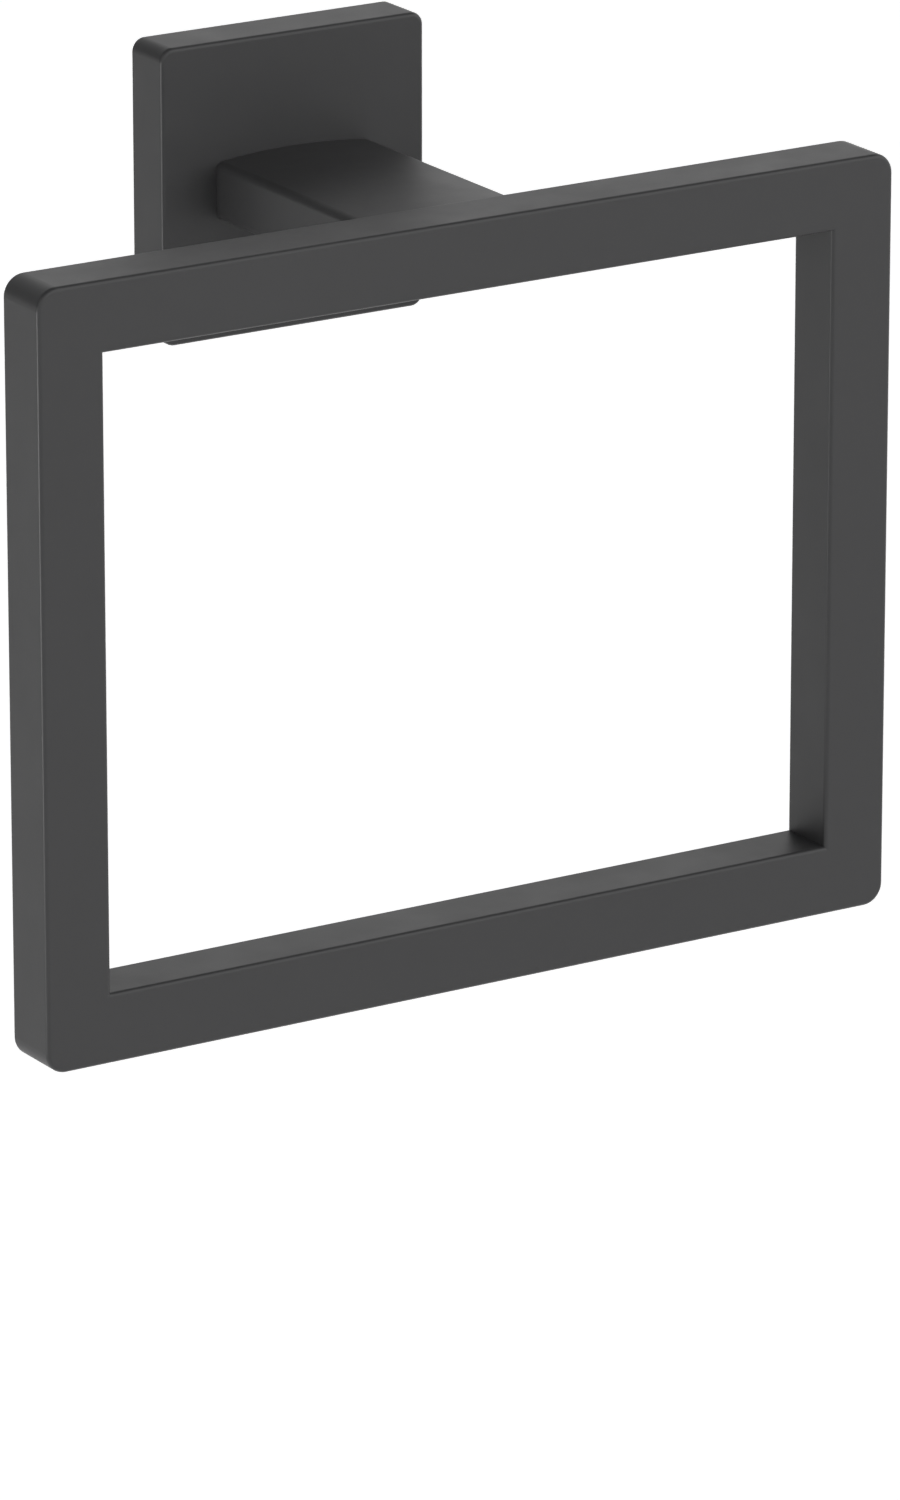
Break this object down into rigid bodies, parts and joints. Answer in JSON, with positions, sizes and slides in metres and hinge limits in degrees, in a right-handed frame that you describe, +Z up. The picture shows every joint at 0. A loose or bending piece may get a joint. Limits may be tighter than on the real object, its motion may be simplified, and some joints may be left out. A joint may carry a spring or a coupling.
{
  "type": "square towel ring",
  "caption": "Wall-mounted towel holder: rectangular closed loop of square bar on a flat post and a square plate that hides its wall bracket.",
  "frame": {"origin": "middle of the wall plate's back, on the wall, halfway between the two wall screw holes", "axes": "+Z up, +Y into the wall, so the loop stands out along -Y; +X along the loop's top bar, to the right as seen from the front"},
  "size_m": [0.18, 0.0732, 0.1664],
  "materials": {
    "black_coat": "matte black coat on a zinc casting",
    "plated_steel": "zinc plated steel",
    "black_steel": "black oxide on steel"
  },
  "bodies": {
    "root": {"towel_loop": "black_coat", "wall_plate": "black_coat", "post_screw": "plated_steel", "lock_washer": "plated_steel", "wall_bracket": "plated_steel", "grub_screw": "black_steel"}
  },
  "joints": []
}
